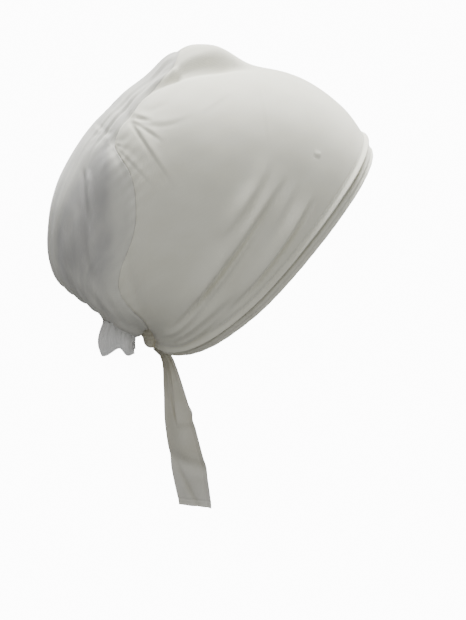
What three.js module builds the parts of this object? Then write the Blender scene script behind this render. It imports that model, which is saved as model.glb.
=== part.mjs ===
// Tie-back under cap of ivory cotton jersey, in the form it has on a head.
// Millimetres. +X is forward (the face), +Y the wearer's left, +Z up.
// The origin is where the crown of the head touches the inside of the cap.
//
// The cap is a fan of sections hinged at the nape. Each section is a loop that lies in a plane
// through both nape corners: from the right corner over the crown to the left corner.
//   u counts the sections: 0 is the face hem, 1 the seam's section, 2 the gathered nape line.
//   s runs round a section: -1 is the right nape corner, 0 the crown, +1 the left nape corner.
import * as THREE from 'three';
import { mergeVertices } from 'three/addons/utils/BufferGeometryUtils.js';

const WALL = 1.3; // jersey with its seams, as a wall
const FOLDED_EDGE = 1.0; // what the turned hem adds to the wall
const FOLDED_EDGE_REACH = 4; // how far from the hem that shows
const GAP = 0.3; // between neighbouring pieces

// One row for each section. crownX and crownZ place it on the middle line, half is its largest
// half width, widest says how far down its chord that lies, square fills out its shoulders.
// bow bends the section forward of its chord, most at bowAt, and sway bends it like an S.
const SECTIONS = [
  { u: 0.00, crownX: 101, crownZ: -52, half: 69, widest: 0.52, square: 0.03, bow: 7, bowAt: 0.68, sway: 0 },
  { u: 0.14, crownX: 84, crownZ: -30, half: 71.5, widest: 0.52, square: 0.03, bow: 9, bowAt: 0.67, sway: 0 },
  { u: 0.30, crownX: 57, crownZ: -10.5, half: 73, widest: 0.52, square: 0.04, bow: 8, bowAt: 0.62, sway: 0 },
  { u: 0.46, crownX: 27, crownZ: -1.5, half: 73, widest: 0.52, square: 0.04, bow: 1, bowAt: 0.5, sway: 0 },
  { u: 0.60, crownX: -3, crownZ: 0, half: 72, widest: 0.51, square: 0.04, bow: -7, bowAt: 0.5, sway: 0 },
  { u: 0.73, crownX: -33, crownZ: -1, half: 69, widest: 0.5, square: 0.05, bow: -14, bowAt: 0.5, sway: 1 },
  { u: 0.86, crownX: -62, crownZ: -13, half: 66, widest: 0.5, square: 0.05, bow: -11, bowAt: 0.5, sway: 2 },
  { u: 1.00, crownX: -88, crownZ: -35, half: 59, widest: 0.5, square: 0.05, bow: -10, bowAt: 0.6, sway: 4 },
  { u: 1.20, crownX: -104, crownZ: -55, half: 52, widest: 0.5, square: 0.05, bow: -14, bowAt: 0.6, sway: 2 },
  { u: 1.40, crownX: -117, crownZ: -79, half: 47, widest: 0.5, square: 0.05, bow: -14, bowAt: 0.55, sway: 0 },
  { u: 1.60, crownX: -124, crownZ: -107, half: 42, widest: 0.5, square: 0.05, bow: -9, bowAt: 0.5, sway: 0 },
  { u: 1.75, crownX: -124, crownZ: -130, half: 36, widest: 0.5, square: 0.05, bow: -3, bowAt: 0.5, sway: 0 },
  { u: 1.86, crownX: -116, crownZ: -148, half: 29, widest: 0.5, square: 0.05, bow: 2, bowAt: 0.5, sway: 0 },
  { u: 1.94, crownX: -98, crownZ: -155, half: 21, widest: 0.5, square: 0.05, bow: 4, bowAt: 0.5, sway: 0 },
  { u: 2.00, crownX: -86, crownZ: -176, half: 18, widest: 0.5, square: 0.05, bow: 4, bowAt: 0.5, sway: 0 },
];

// The nape corner that the sections end at, at the hem, at the seam and at the nape line.
const CORNERS = [
  { u: 0, x: -50, y: 10, z: -195 },
  { u: 1, x: -59, y: 14, z: -177 },
  { u: 2, x: -66, y: 22, z: -185 },
];

// From this section on, the loops open from an arch into the U of the nape line.
const OPENS_FROM = 1.4;

// Where the seam between panel and pouch crosses each place s: it starts well forward at the
// crown, falls back to where it is gathered, swings forward over the ear and back behind it.
const SEAM = [
  { s: 0.00, u: 0.71 },
  { s: 0.06, u: 0.755 },
  { s: 0.12, u: 0.88 },
  { s: 0.17, u: 0.975 },
  { s: 0.24, u: 0.97 },
  { s: 0.34, u: 0.92 },
  { s: 0.43, u: 0.885 },
  { s: 0.50, u: 0.895 },
  { s: 0.57, u: 1.00 },
  { s: 0.62, u: 1.05 },
  { s: 0.70, u: 1.02 },
  { s: 0.80, u: 0.95 },
  { s: 0.90, u: 0.96 },
  { s: 1.00, u: 1.00 },
];

// The loose roll of cloth that stands up along the crown, in front of and behind its peak.
// It is narrow in front and spreads towards the back.
const ROLL = { peakX: -17, height: 15, reach: 27, power: 3, roundness: 2.6 };
const ROLL_SPREAD = { frontX: 4, narrow: 9, backX: -52, wide: 22 };
const RIDGE = { fromX: -95, toX: -25, height: 1.5, halfWidth: 15 }; // its low end, down the back
const ROLL_FOOT = { depth: 1.5, away: 1.3, halfWidth: 7 }; // away: in half widths of the roll

// Folds, seen from the side: each runs from, past and to three points of the X-Z plane. The crest
// stands height high, and falls off over above on its upper side and below on its lower one.
// A negative height is a groove.
const RIGHT_FOLDS = [
  { name: 'long', from: [-54, -174], past: [-26, -132], to: [30, -64], height: 4, above: 12, below: 5 },
  { name: 'brow', from: [2, -140], past: [20, -114], to: [42, -80], height: 3.2, above: 9, below: 4.5 },
  { name: 'upper', from: [-14, -93], past: [0, -85], to: [12, -58], height: 2, above: 8, below: 5 },
  { name: 'lower', from: [-52, -180], past: [-24, -152], to: [-6, -134], height: 2, above: 7, below: 4 },
  { name: 'neck', from: [-50, -186], past: [-26, -176], to: [-15, -148], height: 2, above: 6, below: 4 },
  { name: 'pull', from: [-69, -26], past: [-57, -47], to: [-38, -79], height: 1.6, above: 7, below: 4 },
  { name: 'low pull', from: [-82, -42], past: [-70, -52], to: [-52, -72], height: 1.4, above: 6, below: 4 },
  { name: 'pouch', from: [-99, -62], past: [-103, -98], to: [-96, -130], height: 3, above: 7, below: 7 },
  { name: 'valley', from: [-91, -70], past: [-92, -105], to: [-91, -140], height: -3, above: 8, below: 8 },
  { name: 'back', from: [-110, -92], past: [-113, -110], to: [-109, -128], height: 2.5, above: 6, below: 6 },
  { name: 'seam', from: [-77, -104], past: [-95, -136], to: [-62, -168], height: -2, above: 6, below: 6 },
];
const LEFT_FOLDS = [
  { name: 'long', from: [-54, -174], past: [-22, -136], to: [26, -72], height: 3.5, above: 12, below: 5 },
  { name: 'brow', from: [-2, -142], past: [22, -112], to: [36, -84], height: 2.6, above: 9, below: 5 },
  { name: 'lower', from: [-52, -182], past: [-24, -158], to: [-8, -138], height: 2, above: 7, below: 4 },
  { name: 'pull', from: [-74, -30], past: [-60, -50], to: [-42, -74], height: 1.6, above: 7, below: 4 },
  { name: 'pouch', from: [-97, -66], past: [-103, -100], to: [-98, -128], height: 3, above: 7, below: 7 },
  { name: 'valley', from: [-89, -76], past: [-91, -108], to: [-89, -138], height: -3, above: 8, below: 8 },
  { name: 'seam', from: [-77, -100], past: [-94, -134], to: [-62, -168], height: -2, above: 6, below: 6 },
];
const FOLD_STEPS = 16; // straight pieces that a fold's line is measured by
const FOLD_FADE = 0.22; // share of its length over which a fold dies out at each end

// Dents where the seam's stitches draw the cloth in, placed in the X-Z plane.
const DENTS = {
  right: [
    { x: -69, z: -27, depth: 3.5, reach: 9 },
    { x: -83, z: -43, depth: 4, reach: 10 },
  ],
  left: [{ x: -74, z: -32, depth: 3.5, reach: 9 }],
};

// The gathers: pleats that cross the seam and the nape line, deepest at the line itself.
const SEAM_GATHERS = { count: 8, height: 1.4, reach: 0.16 };
const NAPE_GATHERS = { count: 7, height: 1.2, reach: 0.3 };
const SEAM_GROOVE = { depth: 1.6, reach: 0.05 };

// The s beyond which gathers, and all relief, die out towards a nape corner.
const CORNER_FADE = { gathers: 0.72, relief: 0.85 };

// How much of each section the pouch leaves out at its ends.
const CORNER_TRIM = { share: 0.1, from: 1, to: 1.4 };

// How finely each piece is cut up.
const PANEL_GRID = { across: 24, round: 48 };
const POUCH_GRID = { across: 15, round: 48 };
const MIDDLE_CROWDING = 0.3; // draws the cuts round a section closer together at its middle

const IVORY = 0xe9e7e0;
const TIE_IVORY = 0xe6e1d2;

// ---- curves ---------------------------------------------------------------------------------

function smoothStep(from, to, value) {
  const t = THREE.MathUtils.clamp((value - from) / (to - from), 0, 1);
  return t * t * (3 - 2 * t);
}

// A smooth curve through a table's rows: the value of column key at row position at.
function through(rows, key, at, by = 'u') {
  const last = rows.length - 1;
  let i = 0;
  while (i < last - 1 && at >= rows[i + 1][by]) i += 1;
  const slope = (k) => {
    const before = rows[Math.max(k - 1, 0)];
    const after = rows[Math.min(k + 1, last)];
    return (after[key] - before[key]) / (after[by] - before[by]);
  };
  const step = rows[i + 1][by] - rows[i][by];
  const t = (at - rows[i][by]) / step;
  const t2 = t * t;
  const t3 = t2 * t;
  return (
    (2 * t3 - 3 * t2 + 1) * rows[i][key] +
    (t3 - 2 * t2 + t) * step * slope(i) +
    (3 * t2 - 2 * t3) * rows[i + 1][key] +
    (t3 - t2) * step * slope(i + 1)
  );
}

// ---- the cap's form -------------------------------------------------------------------------

// The smooth form under the folds, at section u and place s round it.
function formPoint(u, s) {
  const row = (key) => through(SECTIONS, key, u);
  const corner = (key) => through(CORNERS, key, u);
  const open = Math.max(0, (u - OPENS_FROM) / (2 - OPENS_FROM)) ** 2;
  const turn = Math.PI * Math.abs(s);
  const archDown = (1 - Math.cos(turn)) / 2;
  const down = THREE.MathUtils.lerp(archDown, Math.abs(s), open);
  const along = down + 4 * (row('widest') - 0.5) * down * (1 - down);
  const square = row('square');
  const arch = (Math.sin(turn) + square * Math.sin(3 * turn)) / (1 - square);
  const spread = THREE.MathUtils.lerp(archDown ** 3, Math.sin(turn / 2), open);
  const side = (row('half') - open * corner('y') * Math.SQRT1_2) * arch + corner('y') * spread;
  const chordX = corner('x') - row('crownX');
  const chordZ = corner('z') - row('crownZ');
  const chord = Math.hypot(chordX, chordZ);
  const bowPower = Math.log(0.5) / Math.log(row('bowAt'));
  const bend =
    row('bow') * Math.sin(Math.PI * Math.pow(along, bowPower)) +
    row('sway') * Math.sin(2 * Math.PI * along);
  return new THREE.Vector3(
    row('crownX') + along * chordX - (bend * chordZ) / chord,
    Math.sign(s) * side,
    row('crownZ') + along * chordZ + (bend * chordX) / chord,
  );
}

// The directions along u, out of the form and across the section's line towards larger u, and
// how many millimetres one unit of u is there.
function formFrame(u, s) {
  const small = 0.01;
  const alongU = formPoint(u + small, s).sub(formPoint(u - small, s));
  const alongS = formPoint(u, s + small).sub(formPoint(u, s - small));
  const scale = alongU.length() / (2 * small);
  alongU.normalize();
  const out = new THREE.Vector3().crossVectors(alongS, alongU).normalize();
  const onward = new THREE.Vector3().crossVectors(out, alongS).normalize();
  return { alongU, out, onward, scale };
}

function seamAt(s) {
  return through(SEAM, 'u', Math.abs(s), 's');
}

// A fold with its line as short straight pieces of its curve in the X-Z plane.
function withLine(fold) {
  const [from, past, to] = [fold.from, fold.past, fold.to].map(([x, z]) => new THREE.Vector2(x, z));
  const curve = new THREE.QuadraticBezierCurve(from, past, to);
  return { ...fold, line: curve.getPoints(FOLD_STEPS) };
}
const FOLDS = { right: RIGHT_FOLDS.map(withLine), left: LEFT_FOLDS.map(withLine) };

function foldHeight(fold, point) {
  const line = fold.line;
  const here = new THREE.Vector2(point.x, point.z);
  let nearest = Infinity;
  let share = 0;
  let above = true;
  for (let i = 0; i < FOLD_STEPS; i += 1) {
    const piece = line[i + 1].clone().sub(line[i]);
    const offset = here.clone().sub(line[i]);
    const t = THREE.MathUtils.clamp(offset.dot(piece) / piece.lengthSq(), 0, 1);
    const gap = offset.distanceTo(piece.clone().multiplyScalar(t));
    if (gap < nearest) {
      nearest = gap;
      share = (i + t) / FOLD_STEPS;
      above = piece.cross(offset) > 0;
    }
  }
  const reach = above ? fold.above : fold.below;
  const fade = smoothStep(0, FOLD_FADE, share) * smoothStep(0, FOLD_FADE, 1 - share);
  return fold.height * fade * Math.exp(-((nearest / reach) ** 2));
}

function rollHeight(point) {
  const ahead = Math.abs(point.x - ROLL.peakX) / ROLL.reach;
  const side = Math.abs(point.y);
  const { narrow, wide, frontX, backX } = ROLL_SPREAD;
  const back = THREE.MathUtils.clamp(THREE.MathUtils.inverseLerp(frontX, backX, point.x), 0, 1);
  const halfWidth = THREE.MathUtils.lerp(narrow, wide, back);
  const peak = ROLL.height * Math.exp(-(ahead ** ROLL.power));
  const ridge =
    RIDGE.height *
    smoothStep(RIDGE.fromX, RIDGE.fromX + ROLL.reach, point.x) *
    (1 - smoothStep(RIDGE.toX - ROLL.reach, RIDGE.toX, point.x));
  const fromFoot = side - ROLL_FOOT.away * halfWidth;
  const foot = ROLL_FOOT.depth * Math.exp(-((fromFoot / ROLL_FOOT.halfWidth) ** 2));
  return (
    peak * Math.exp(-((side / halfWidth) ** ROLL.roundness)) +
    ridge * Math.exp(-((side / RIDGE.halfWidth) ** 2)) -
    (foot * (peak + ridge)) / ROLL.height
  );
}

function gatherHeight(gathers, line, u, s) {
  const fade = Math.exp(-Math.abs(u - line) / gathers.reach);
  const ends = 1 - smoothStep(CORNER_FADE.gathers, 1, Math.abs(s));
  return gathers.height * fade * ends * Math.cos(2 * Math.PI * gathers.count * s);
}

// How far the cloth stands out from the smooth form.
function relief(u, s) {
  const point = formPoint(u, s);
  let height = rollHeight(point);
  const side = point.y < 0 ? 'right' : 'left';
  for (const fold of FOLDS[side]) height += foldHeight(fold, point);
  for (const dent of DENTS[side]) {
    const away = Math.hypot(point.x - dent.x, point.z - dent.z) / dent.reach;
    height -= dent.depth * Math.exp(-(away ** 2));
  }
  height += gatherHeight(SEAM_GATHERS, seamAt(s), u, s);
  height += gatherHeight(NAPE_GATHERS, 2, u, s);
  height -= SEAM_GROOVE.depth * Math.exp(-(((u - seamAt(s)) / SEAM_GROOVE.reach) ** 2));
  return height * (1 - smoothStep(CORNER_FADE.relief, 1, Math.abs(s)));
}

// ---- solids ---------------------------------------------------------------------------------

// Places round a section, from corner to corner, closer together at its middle.
function placesRound(count) {
  const places = [];
  for (let j = 0; j <= count; j += 1) {
    const t = (2 * j) / count - 1;
    places.push(t - (MIDDLE_CROWDING * Math.sin(Math.PI * t)) / Math.PI);
  }
  return places;
}

function meshFrom(name, points, faces, colour) {
  const geometry = new THREE.BufferGeometry();
  const positions = points.flatMap((p) => [p.x, p.y, p.z]);
  geometry.setAttribute('position', new THREE.Float32BufferAttribute(positions, 3));
  geometry.setIndex(faces);
  const merged = mergeVertices(geometry);
  merged.computeVertexNormals();
  const material = new THREE.MeshStandardMaterial({ color: colour, roughness: 0.95, metalness: 0 });
  const mesh = new THREE.Mesh(merged, material);
  mesh.name = name;
  return mesh;
}

function volume(points, faces) {
  let sum = 0;
  for (let i = 0; i < faces.length; i += 3) {
    const [a, b, c] = [points[faces[i]], points[faces[i + 1]], points[faces[i + 2]]];
    sum += a.dot(new THREE.Vector3().crossVectors(b, c));
  }
  return sum;
}

// A closed wall between two grids of points, outer and inner, with a rim round all four edges.
function wallMesh(name, outer, inner, colour) {
  const rows = outer.length;
  const columns = outer[0].length;
  const points = [...outer.flat(), ...inner.flat()];
  const at = (i, j) => i * columns + j;
  const under = (i, j) => rows * columns + at(i, j);
  const faces = [];
  const quad = (a, b, c, d) => faces.push(a, b, c, a, c, d);
  for (let i = 0; i < rows - 1; i += 1) {
    for (let j = 0; j < columns - 1; j += 1) {
      quad(at(i, j), at(i + 1, j), at(i + 1, j + 1), at(i, j + 1));
      quad(under(i, j), under(i, j + 1), under(i + 1, j + 1), under(i + 1, j));
    }
  }
  for (let i = 0; i < rows - 1; i += 1) {
    quad(at(i, 0), under(i, 0), under(i + 1, 0), at(i + 1, 0));
    quad(at(i, columns - 1), at(i + 1, columns - 1), under(i + 1, columns - 1), under(i, columns - 1));
  }
  for (let j = 0; j < columns - 1; j += 1) {
    quad(at(0, j), at(0, j + 1), under(0, j + 1), under(0, j));
    quad(at(rows - 1, j), under(rows - 1, j), under(rows - 1, j + 1), at(rows - 1, j + 1));
  }
  if (volume(points, faces) < 0) faces.reverse();
  return meshFrom(name, points, faces, colour);
}

// A closed bar whose cross-sections are loops of points, with a flat fan round the middle of each
// end.
function barMesh(name, loops, colour) {
  const count = loops[0].length;
  const middle = (loop) => loop.reduce((sum, p) => sum.add(p), new THREE.Vector3()).divideScalar(count);
  const points = [...loops.flat(), middle(loops[0]), middle(loops.at(-1))];
  const end = (loops.length - 1) * count;
  const [firstMiddle, lastMiddle] = [end + count, end + count + 1];
  const faces = [];
  for (let i = 0; i < loops.length - 1; i += 1) {
    for (let j = 0; j < count; j += 1) {
      const next = (j + 1) % count;
      const [a, b, c, d] = [i * count + j, i * count + next, (i + 1) * count + next, (i + 1) * count + j];
      faces.push(a, b, c, a, c, d);
    }
  }
  for (let j = 0; j < count; j += 1) {
    const next = (j + 1) % count;
    faces.push(firstMiddle, next, j, lastMiddle, end + j, end + next);
  }
  if (volume(points, faces) < 0) faces.reverse();
  return meshFrom(name, points, faces, colour);
}

// ---- pieces ---------------------------------------------------------------------------------

// Behind the seam a section stops a little short of the nape corners, where the form turns in
// too tightly for a wall.
function trimmed(u, s) {
  return s * (1 - CORNER_TRIM.share * smoothStep(CORNER_TRIM.from, CORNER_TRIM.to, u));
}

// A piece of the cap between two lines, each given as its u at every s.
function capPiece(name, fromU, toU, grid) {
  const outer = [];
  const inner = [];
  for (const s of placesRound(grid.round)) {
    const start = fromU(s);
    const end = toU(s);
    const outerColumn = [];
    const innerColumn = [];
    for (let i = 0; i <= grid.across; i += 1) {
      const u = start + ((end - start) * i) / grid.across;
      const place = trimmed(u, s);
      const { out, scale } = formFrame(u, place);
      const fromHem = (u * scale) / FOLDED_EDGE_REACH;
      const wall = WALL + FOLDED_EDGE * Math.exp(-(fromHem ** 2));
      const point = formPoint(u, place).addScaledVector(out, relief(u, place));
      outerColumn.push(point);
      innerColumn.push(point.clone().addScaledVector(out, -wall));
    }
    outer.push(outerColumn);
    inner.push(innerColumn);
  }
  return wallMesh(name, outer, inner, IVORY);
}

// Half the gap between the two sides of the seam, as a step of u.
function seamStep(s) {
  return GAP / 2 / formFrame(seamAt(s), s).scale;
}

function frontPanel() {
  return capPiece('front_panel', () => 0, (s) => seamAt(s) - seamStep(s), PANEL_GRID);
}

function backPouch() {
  return capPiece('back_pouch', (s) => seamAt(s) + seamStep(s), () => 2, POUCH_GRID);
}

// The folded band that the face edge is bound with. Its back part is tucked under the panel's
// edge, and the rest stands ahead of the edge and a little lower than the panel's outer face.
const BAND = {
  width: 8,
  widthAtNape: 4,
  narrowsFrom: 0.6, // the s from which it narrows towards the nape
  until: 0.995, // the s that it ends at
  tuck: 4,
  thickness: 1.6,
  tuckDepth: 2.7, // below the panel's outer face
  depth: 1.5,
  step: 0.6, // the length over which it rises from one depth to the other
  bevel: 0.4,
};

function faceBand() {
  const outer = [];
  const inner = [];
  for (const place of placesRound(PANEL_GRID.round)) {
    const s = place * BAND.until;
    const { alongU, out } = formFrame(0, s);
    const edge = formPoint(0, s).addScaledVector(out, relief(0, s));
    const narrowed = smoothStep(BAND.narrowsFrom, 1, Math.abs(s));
    const width = THREE.MathUtils.lerp(BAND.width, BAND.widthAtNape, narrowed);
    const columns = [
      { ahead: -BAND.tuck, depth: BAND.tuckDepth, bevel: 0 },
      { ahead: GAP, depth: BAND.tuckDepth, bevel: 0 },
      { ahead: GAP + BAND.step, depth: BAND.depth, bevel: 0 },
      { ahead: width - BAND.bevel, depth: BAND.depth, bevel: 0 },
      { ahead: width, depth: BAND.depth, bevel: BAND.bevel },
    ];
    const at = (ahead, depth) => edge.clone().addScaledVector(alongU, -ahead).addScaledVector(out, -depth);
    outer.push(columns.map((column) => at(column.ahead, column.depth + column.bevel)));
    inner.push(columns.map((column) => at(column.ahead, column.depth + BAND.thickness - column.bevel)));
  }
  return wallMesh('face_band', outer, inner, IVORY);
}

// The pouch's free hem below its gathering: a strip that waves in and out as it goes round.
const RUFFLE = {
  height: 23, // at the middle of the nape
  endHeight: 14,
  flare: 5,
  waves: 1.7, // along s from the middle of the nape to a corner
  firstWave: 0.02, // the s of the first one's crest
  depth: 3.2,
  lift: 2,
  until: 0.7, // the s that it ends at
  drop: 0.8, // below the underside of the pouch
  aroundX: -62, // it stands out from the upright line here
  wall: 1.2,
};
const RUFFLE_ROWS = 5;

function napeRuffle() {
  const outer = [];
  const inner = [];
  for (const place of placesRound(POUCH_GRID.round)) {
    const s = trimmed(2, place);
    if (Math.abs(s) > RUFFLE.until) continue;
    const { out, onward } = formFrame(2, s);
    const smooth = formPoint(2, s);
    smooth.addScaledVector(onward, RUFFLE.wall / 2).addScaledVector(out, RUFFLE.drop);
    const top = smooth.clone().addScaledVector(out, relief(2, s));
    const side = new THREE.Vector3(top.x - RUFFLE.aroundX, top.y, 0).normalize();
    const wave = Math.cos(2 * Math.PI * RUFFLE.waves * (Math.abs(s) - RUFFLE.firstWave));
    const end = smoothStep(0, RUFFLE.until, Math.abs(s));
    const height = THREE.MathUtils.lerp(RUFFLE.height, RUFFLE.endHeight, end);
    const outerColumn = [];
    const innerColumn = [];
    for (let i = 0; i <= RUFFLE_ROWS; i += 1) {
      const t = i / RUFFLE_ROWS;
      const point = top.clone().lerp(smooth, t);
      point.addScaledVector(side, RUFFLE.flare * t + RUFFLE.depth * wave * t * (2 - t));
      point.z -= t * (height + RUFFLE.lift * wave);
      outerColumn.push(point.clone().addScaledVector(side, RUFFLE.wall / 2));
      innerColumn.push(point.clone().addScaledVector(side, -RUFFLE.wall / 2));
    }
    outer.push(outerColumn);
    inner.push(innerColumn);
  }
  return wallMesh('nape_ruffle', outer, inner, IVORY);
}

// The knot between both nape corners: a soft lump with a wrap across its middle and grooves
// that wind round it. It is wider at its top, as the space between the corners is.
const KNOT = {
  x: -53,
  z: -187,
  deep: 6.5,
  wideBelow: 9.2,
  wideAbove: 12.2,
  tall: 10.5,
  flatEnd: 0.98, // share of the half height where the rounded end is cut flat
  wrap: 1.8,
  wrapReach: 4,
  groove: 0.12, // depth, as a share of the radius
  grooves: 3,
  winding: 2.2,
};
const KNOT_GRID = { around: 20, up: 12 };

function tieKnot() {
  const loops = [];
  for (let i = 0; i <= KNOT_GRID.up; i += 1) {
    const t = Math.sin(Math.PI * (i / KNOT_GRID.up - 0.5)) * KNOT.flatEnd;
    const round = (1 - t ** 4) ** 0.25;
    const wide = THREE.MathUtils.lerp(KNOT.wideBelow, KNOT.wideAbove, (t + 1) / 2);
    const wrap = KNOT.wrap * Math.exp(-(((t * KNOT.tall) / KNOT.wrapReach) ** 2));
    const loop = [];
    for (let j = 0; j < KNOT_GRID.around; j += 1) {
      const angle = (2 * Math.PI * j) / KNOT_GRID.around;
      const groove = 1 - KNOT.groove * Math.cos(KNOT.grooves * angle + KNOT.winding * t) ** 8;
      const back = Math.cos(angle) * (KNOT.deep + wrap) * round * groove;
      const side = Math.sin(angle) * wide * round * groove;
      loop.push(new THREE.Vector3(KNOT.x - back, side, KNOT.z + t * KNOT.tall));
    }
    loops.push(loop);
  }
  return barMesh('tie_knot', loops, TIE_IVORY);
}

// The tie ends. Each row is a height on the strip: its middle, its width, the way its width
// points (turn, in degrees from forward to the side) and how deep its long fold is.
const RIGHT_TIE = [
  { t: 0.00, x: -50, y: -3.5, z: -197.6, width: 6, turn: -5, fold: 1 },
  { t: 0.06, x: -44, y: -7.5, z: -204, width: 8, turn: -14, fold: 2 },
  { t: 0.25, x: -41, y: -19, z: -223, width: 15, turn: -22, fold: 4 },
  { t: 0.50, x: -39, y: -31, z: -247, width: 22.5, turn: -28, fold: 4 },
  { t: 0.75, x: -35, y: -39.5, z: -275, width: 26, turn: -30, fold: 2 },
  { t: 1.00, x: -31, y: -45, z: -304, width: 24, turn: -30, fold: 1 },
];
const LEFT_TIE = [
  { t: 0.00, x: -50, y: 3.5, z: -197.6, width: 6, turn: 5, fold: 1 },
  { t: 0.06, x: -44, y: 7.5, z: -204, width: 8, turn: 14, fold: 2 },
  { t: 0.25, x: -37, y: 19, z: -221, width: 12, turn: 26, fold: 4 },
  { t: 0.50, x: -32, y: 32, z: -243, width: 17, turn: 34, fold: 3 },
  { t: 0.75, x: -26, y: 41, z: -267, width: 21, turn: 38, fold: 2 },
  { t: 1.00, x: -21, y: 47, z: -292, width: 22, turn: 40, fold: 1 },
];
const TIE_WALL = 2;
const TIE_GRID = { down: 18, across: 6 };

function tieEnd(name, rows) {
  const outer = [];
  const inner = [];
  for (let i = 0; i <= TIE_GRID.down; i += 1) {
    const t = i / TIE_GRID.down;
    const value = (key) => through(rows, key, t, 't');
    const turn = THREE.MathUtils.degToRad(value('turn'));
    const across = new THREE.Vector3(Math.cos(turn), Math.sin(turn), 0);
    const outward = new THREE.Vector3(Math.sin(turn), -Math.cos(turn), 0).multiplyScalar(Math.sign(-turn));
    const middle = new THREE.Vector3(value('x'), value('y'), value('z'));
    const outerRow = [];
    const innerRow = [];
    for (let j = 0; j <= TIE_GRID.across; j += 1) {
      const v = j / TIE_GRID.across;
      const stand = value('fold') * Math.sin(Math.PI * v) ** 2;
      const point = middle.clone().addScaledVector(across, (v - 0.5) * value('width'));
      point.addScaledVector(outward, stand);
      outerRow.push(point);
      innerRow.push(point.clone().addScaledVector(outward, -TIE_WALL));
    }
    outer.push(outerRow);
    inner.push(innerRow);
  }
  return wallMesh(name, outer, inner, TIE_IVORY);
}

const cap = new THREE.Group();
cap.add(frontPanel(), backPouch(), faceBand(), napeRuffle(), tieKnot());
cap.add(tieEnd('tie_end_right', RIGHT_TIE), tieEnd('tie_end_left', LEFT_TIE));

export default cap;
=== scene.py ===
"""Tie-back under cap of ivory cotton jersey: the visible model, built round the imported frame.

The tables are in millimetres, in the frame of the CAD model: +X forward, +Y the wearer's left,
+Z up, with the origin where the crown of the head touches the inside of the cap.
u counts the cap's sections (0 the face hem, 1 about where the seam lies, 2 the gathered nape line)
and s runs round each of them (-1 right nape corner, 0 crown, +1 left nape corner).
"""
import math

import bpy
import numpy as np
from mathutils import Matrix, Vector

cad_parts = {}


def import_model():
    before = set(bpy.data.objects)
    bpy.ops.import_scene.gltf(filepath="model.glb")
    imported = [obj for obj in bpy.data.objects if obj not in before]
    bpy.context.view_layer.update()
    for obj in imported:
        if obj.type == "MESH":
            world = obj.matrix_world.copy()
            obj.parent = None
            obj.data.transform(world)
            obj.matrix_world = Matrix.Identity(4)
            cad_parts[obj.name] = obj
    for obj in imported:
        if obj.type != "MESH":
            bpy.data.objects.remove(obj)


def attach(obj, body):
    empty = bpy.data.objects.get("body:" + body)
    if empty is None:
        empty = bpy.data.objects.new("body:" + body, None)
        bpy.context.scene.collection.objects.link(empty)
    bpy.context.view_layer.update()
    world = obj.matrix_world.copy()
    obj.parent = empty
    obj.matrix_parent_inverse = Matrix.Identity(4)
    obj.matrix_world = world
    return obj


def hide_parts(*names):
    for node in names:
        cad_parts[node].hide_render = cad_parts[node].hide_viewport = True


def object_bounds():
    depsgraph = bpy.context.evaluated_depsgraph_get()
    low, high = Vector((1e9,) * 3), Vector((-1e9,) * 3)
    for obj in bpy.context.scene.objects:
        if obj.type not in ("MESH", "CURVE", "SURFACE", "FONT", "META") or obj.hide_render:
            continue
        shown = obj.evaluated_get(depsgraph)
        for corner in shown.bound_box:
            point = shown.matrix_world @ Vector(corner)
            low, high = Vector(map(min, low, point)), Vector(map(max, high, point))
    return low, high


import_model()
cad_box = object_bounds()

MM = 0.001
FINE = 1.0  # share of the full fineness of the grids


def column_table(columns, rows):
    """Rows of numbers as one array for each named column."""
    return {name: np.array([row[i] for row in rows], float) for i, name in enumerate(columns)}


def row_table(columns, rows):
    """Rows of values as one dictionary for each row."""
    return [dict(zip(columns, row)) for row in rows]


# ---- tables ----

# crown_x and crown_z place a section on the middle line; half is its largest half width, widest
# says how far down its chord that lies, square fills out its shoulders; bow bends it forward of
# its chord, most at bow_at, and sway bends it like an S.
SECTION_COLUMNS = ("u", "crown_x", "crown_z", "half", "widest", "square", "bow", "bow_at", "sway")
SECTION = column_table(SECTION_COLUMNS, (
    (0.0, 101, -52, 69, 0.52, 0.03, 7, 0.68, 0),
    (0.14, 84, -30, 71.5, 0.52, 0.03, 9, 0.67, 0),
    (0.3, 57, -10.5, 73, 0.52, 0.04, 8, 0.62, 0),
    (0.46, 27, -1.5, 73, 0.52, 0.04, 1, 0.5, 0),
    (0.6, -3, 0, 72, 0.51, 0.04, -7, 0.5, 0),
    (0.73, -33, -1, 69, 0.5, 0.05, -14, 0.5, 1),
    (0.86, -62, -13, 66, 0.5, 0.05, -11, 0.5, 2),
    (1.0, -88, -35, 59, 0.5, 0.05, -10, 0.6, 4),
    (1.2, -104, -55, 52, 0.5, 0.05, -14, 0.6, 2),
    (1.4, -117, -79, 47, 0.5, 0.05, -14, 0.55, 0),
    (1.6, -124, -107, 42, 0.5, 0.05, -9, 0.5, 0),
    (1.75, -124, -130, 36, 0.5, 0.05, -3, 0.5, 0),
    (1.86, -116, -148, 29, 0.5, 0.05, 2, 0.5, 0),
    (1.94, -98, -155, 21, 0.5, 0.05, 4, 0.5, 0),
    (2.0, -86, -176, 18, 0.5, 0.05, 4, 0.5, 0),
))
CORNER_COLUMNS = ("u", "x", "y", "z")
CORNER = column_table(CORNER_COLUMNS, (
    (0, -50, 10, -195),
    (1, -59, 14, -177),
    (2, -66, 22, -185),
))
NAPE = 2  # the section u of the gathered nape line
OPENS_FROM = 1.4  # from this section on, the loops open into the U of the nape line
# The share of a section that the pouch leaves out at its ends, and the sections where that starts
# and is reached.
CORNER_TRIM = {"share": 0.1, "from": 1, "full": 1.4}
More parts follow.
